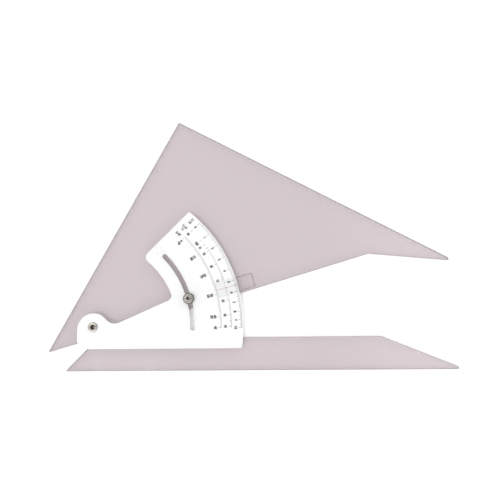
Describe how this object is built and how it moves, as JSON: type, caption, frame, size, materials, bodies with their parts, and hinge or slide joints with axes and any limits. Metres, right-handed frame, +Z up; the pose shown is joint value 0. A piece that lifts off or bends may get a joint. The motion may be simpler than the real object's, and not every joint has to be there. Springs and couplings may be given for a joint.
{
  "type": "adjustable set square",
  "caption": "Clear drafting set square whose triangular blade swings on a hollow pivot against a ruling strip, with a white protractor plate, cursor and thumb-nut clamp.",
  "frame": {"origin": "on the pivot axis at the underside, which is the table the instrument lies on", "axes": "+X along the ruling edge away from the pivot, +Y towards the triangle, +Z up out of the scale's face"},
  "size_m": [0.2575, 0.1633, 0.0099],
  "materials": {
    "tinted_acrylic_strip": "polished cast acrylic, faint rose-grey tint, clear",
    "tinted_acrylic_triangle": "polished cast acrylic, faint rose-grey tint, clear",
    "white_plate": "white rigid plastic, semi-gloss, printed scales",
    "cement": "hardened clear cement film",
    "nickel_eyelet": "nickel-plated brass, worn bright on the rolled rim",
    "nickel_nut": "nickel-plated brass, turned, straight knurl",
    "steel_stud": "plain turned steel",
    "nylon": "natural nylon",
    "clear_cursor": "clear acrylic",
    "red_filling": "red lacquer in a fine groove",
    "printing_ink": "screen-printed scale ink, thin and matt"
  },
  "bodies": {
    "base": {"base_blade": "tinted_acrylic_strip", "plate_bond": "cement", "scale_plate": "white_plate", "pivot_eyelet": "nickel_eyelet", "clinch_washer": "nickel_eyelet"},
    "triangle": {"triangle_blade": "tinted_acrylic_triangle", "pivot_bush": "nylon", "clamp_stud": "steel_stud", "friction_washer": "nylon", "cursor_spacer": "clear_cursor", "cursor_window": "clear_cursor", "index_line": "red_filling"},
    "washer": {"clamp_washer": "steel_stud"},
    "nut": {"clamp_nut": "nickel_nut"}
  },
  "joints": [
    {"name": "triangle_swing", "type": "hinge", "parent": "base", "child": "triangle", "pos_m": [0, 0, 0.003], "axis": [0, 0, 1], "range_deg": [-16.48, 28.52]},
    {"name": "clamp_lift", "type": "slide", "parent": "triangle", "child": "washer", "axis": [0, 0, 1], "range_m": [0, 0.0004]},
    {"name": "nut_turn", "type": "hinge", "parent": "washer", "child": "nut", "pos_m": [0.0614, 0.01735, 0.0055], "axis": [0, 0, 1], "range_deg": [0, 360]}
  ],
  "couplings": [
    {"joint": "nut_turn", "follows": "clamp_lift", "rad_per_m": 15708}
  ]
}
